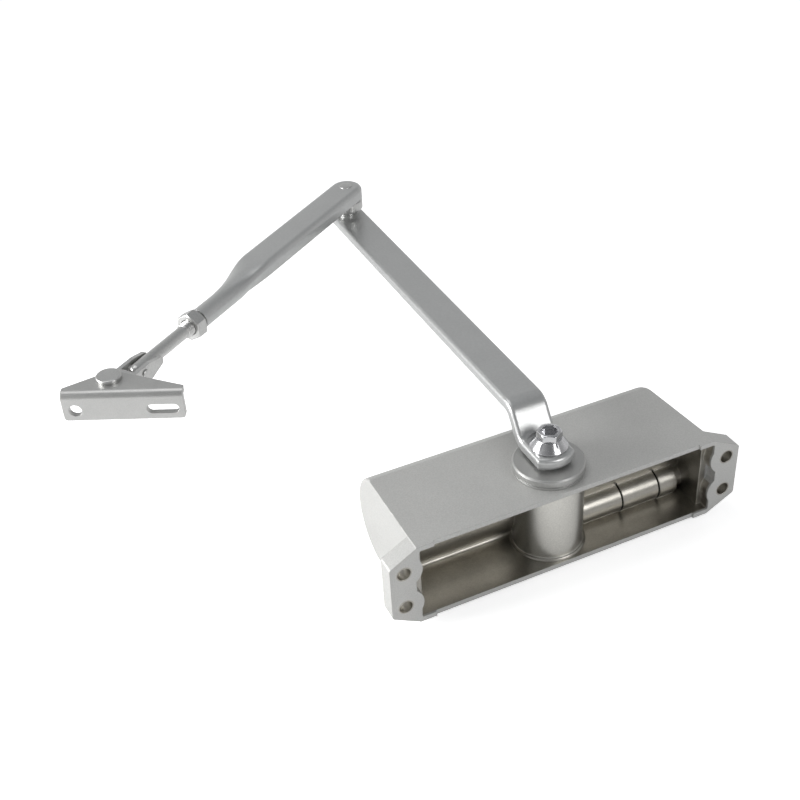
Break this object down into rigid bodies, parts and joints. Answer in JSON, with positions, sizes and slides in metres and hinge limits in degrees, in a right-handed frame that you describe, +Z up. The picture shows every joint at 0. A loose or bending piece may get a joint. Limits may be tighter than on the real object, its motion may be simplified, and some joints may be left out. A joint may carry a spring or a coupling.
{
  "type": "overhead door closer",
  "caption": "Surface-mounted rack-and-pinion door closer: cast body with open back, cranked main arm, adjustable forearm and angled foot bracket.",
  "frame": {"origin": "middle of the four screw holes, on the mounting face", "axes": "+X along the body, +Y from the mounting face into the body, +Z up along the spindle"},
  "size_m": [0.279, 0.2598, 0.088],
  "materials": {
    "cast_body": "matt fine-textured silver paint outside, bare casting inside",
    "collar_metal": "satin",
    "arm_steel": "satin silver coating",
    "bracket_steel": "matt silver",
    "plated_steel": "zinc plated",
    "bright_screw": "polished",
    "hard_steel": "ground",
    "bush_metal": "sintered bronze",
    "spring_wire": "oiled wire",
    "seal_rubber": "moulded rubber"
  },
  "bodies": {
    "closer_body": {"housing": "cast_body", "spindle_collar": "collar_metal", "lower_cap": "collar_metal", "end_plug": "hard_steel", "end_plug_o_ring": "seal_rubber", "lower_cap_o_ring": "seal_rubber", "upper_seal": "seal_rubber", "upper_bearing": "bush_metal", "lower_bearing": "bush_metal", "outer_spring": "spring_wire", "inner_spring": "spring_wire", "spring_seat": "hard_steel"},
    "spindle": {"pinion_shaft": "hard_steel", "main_arm": "arm_steel", "arm_screw": "bright_screw", "elbow_bush": "plated_steel", "elbow_rivet": "plated_steel"},
    "piston_body": {"piston": "hard_steel", "piston_seal": "seal_rubber", "check_valve_ball": "hard_steel", "check_valve_retainer": "hard_steel"},
    "closing_valve": {"closing_valve_screw": "bush_metal", "closing_valve_o_ring": "seal_rubber"},
    "latching_valve": {"latching_valve_screw": "bush_metal", "latching_valve_o_ring": "seal_rubber"},
    "forearm_body": {"forearm": "arm_steel"},
    "lock_nut_body": {"lock_nut": "plated_steel"},
    "rod_body": {"adjusting_rod": "plated_steel"},
    "fork_body": {"clevis_fork": "plated_steel", "clevis_pin": "plated_steel"},
    "bracket_body": {"foot_bracket": "bracket_steel", "pivot_rivet": "plated_steel"}
  },
  "joints": [
    {"name": "spindle_turn", "type": "hinge", "parent": "closer_body", "child": "spindle", "pos_m": [-0.001, 0.01975, 0], "axis": [0, 0, 1], "range_deg": [-90, 90]},
    {"name": "piston_slide", "type": "slide", "parent": "closer_body", "child": "piston_body", "axis": [1, 0, 0], "range_m": [-0.01298, 0.01298], "deforming": ["outer_spring", "inner_spring"]},
    {"name": "closing_valve_turn", "type": "hinge", "parent": "closer_body", "child": "closing_valve", "pos_m": [0.066, 0.0235, -0.013], "axis": [1, 0, 0], "range_deg": [-180, 180]},
    {"name": "latching_valve_turn", "type": "hinge", "parent": "closer_body", "child": "latching_valve", "pos_m": [0.066, 0.0235, 0.013], "axis": [1, 0, 0], "range_deg": [-180, 180]},
    {"name": "elbow_fold", "type": "hinge", "parent": "spindle", "child": "forearm_body", "pos_m": [0.00222, 0.25048, 0.055], "axis": [0, 0, 1], "range_deg": [-150, 150]},
    {"name": "lock_nut_run", "type": "slide", "parent": "forearm_body", "child": "lock_nut_body", "axis": [-0.8059, -0.592, 0], "range_m": [-0.0017, 0.01]},
    {"name": "rod_adjust", "type": "slide", "parent": "forearm_body", "child": "rod_body", "axis": [-0.8059, -0.592, 0], "range_m": [-0.01, 0.012]},
    {"name": "fork_tilt", "type": "hinge", "parent": "rod_body", "child": "fork_body", "pos_m": [-0.15252, 0.13681, 0.0554], "axis": [-0.592, 0.8059, 0], "range_deg": [-20, 20]},
    {"name": "bracket_turn", "type": "hinge", "parent": "fork_body", "child": "bracket_body", "pos_m": [-0.16662, 0.12645, 0.062], "axis": [0, 0, 1], "range_deg": [-115, 55]}
  ],
  "couplings": [
    {"joint": "piston_slide", "follows": "spindle_turn", "m_per_rad": -0.00825}
  ]
}
